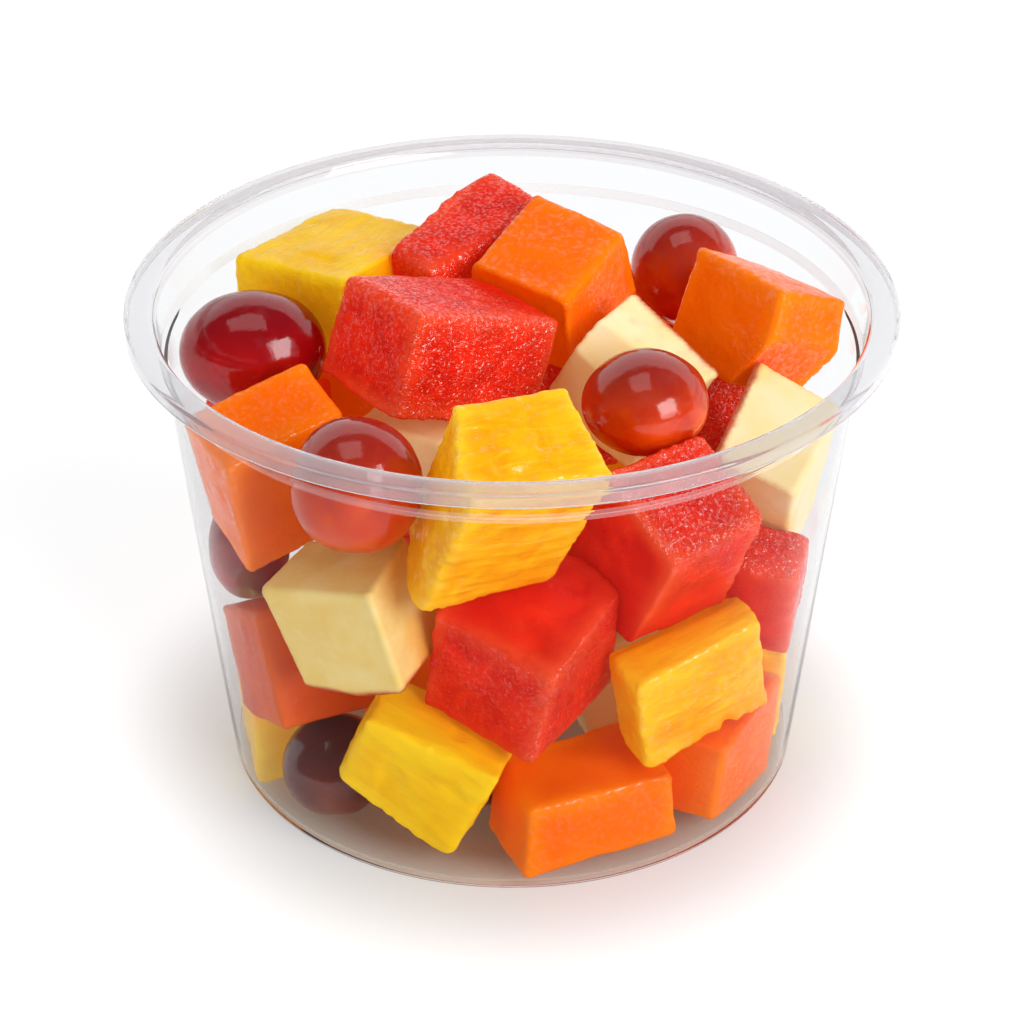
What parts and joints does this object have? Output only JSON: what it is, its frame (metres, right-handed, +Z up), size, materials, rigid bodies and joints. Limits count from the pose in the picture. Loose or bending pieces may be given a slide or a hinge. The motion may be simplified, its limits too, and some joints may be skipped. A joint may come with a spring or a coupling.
{
  "type": "fruit cup",
  "caption": "Clear tapered deli cup with a flanged rim, heaped with cut melon, pineapple and apple and whole grapes.",
  "frame": {"origin": "middle of the cup's foot ring, on the surface that the cup stands on", "axes": "+Z up along the cup's axis, -Y towards the side that the picture shows, +X to its right"},
  "size_m": [0.117, 0.117, 0.0828],
  "materials": {
    "cup": "clear thin thermoformed PET, glossy, see-through",
    "watermelon": "wet, granular cut flesh, bright red",
    "melon": "wet, smooth cut flesh, deep orange",
    "pineapple": "wet, fibrous cut flesh, golden yellow",
    "apple": "crisp cream flesh, satin, with thin red skin on one side",
    "grape": "glossy dark red skin, partly see-through, with some bloom"
  },
  "bodies": {
    "root": {"apple_deep": "apple", "apple_fill_1": "apple", "apple_fill_2": "apple", "apple_fill_3": "apple", "apple_front_left": "apple", "apple_middle": "apple", "apple_right": "apple", "cup": "cup", "grape_fill_1": "grape", "grape_fill_2": "grape", "grape_fill_3": "grape", "grape_front_left": "grape", "grape_front_low": "grape", "grape_left": "grape", "grape_left_low": "grape", "grape_middle": "grape", "grape_top_back": "grape", "grape_top_left": "grape", "melon_fill_1": "melon", "melon_fill_2": "melon", "melon_fill_3": "melon", "melon_fill_4": "melon", "melon_fill_5": "melon", "melon_front_low": "melon", "melon_left": "melon", "melon_left_low": "melon", "melon_right_low": "melon", "melon_top_middle": "melon", "melon_top_right": "melon", "pineapple_fill_1": "pineapple", "pineapple_fill_2": "pineapple", "pineapple_fill_3": "pineapple", "pineapple_fill_4": "pineapple", "pineapple_front": "pineapple", "pineapple_front_low": "pineapple", "pineapple_front_right": "pineapple", "pineapple_left_low": "pineapple", "pineapple_right_low": "pineapple", "pineapple_top_left": "pineapple", "watermelon_deep": "watermelon", "watermelon_fill_1": "watermelon", "watermelon_fill_2": "watermelon", "watermelon_fill_3": "watermelon", "watermelon_fill_4": "watermelon", "watermelon_front": "watermelon", "watermelon_front_right": "watermelon", "watermelon_right": "watermelon", "watermelon_top_back": "watermelon", "watermelon_top_front": "watermelon"}
  },
  "joints": []
}
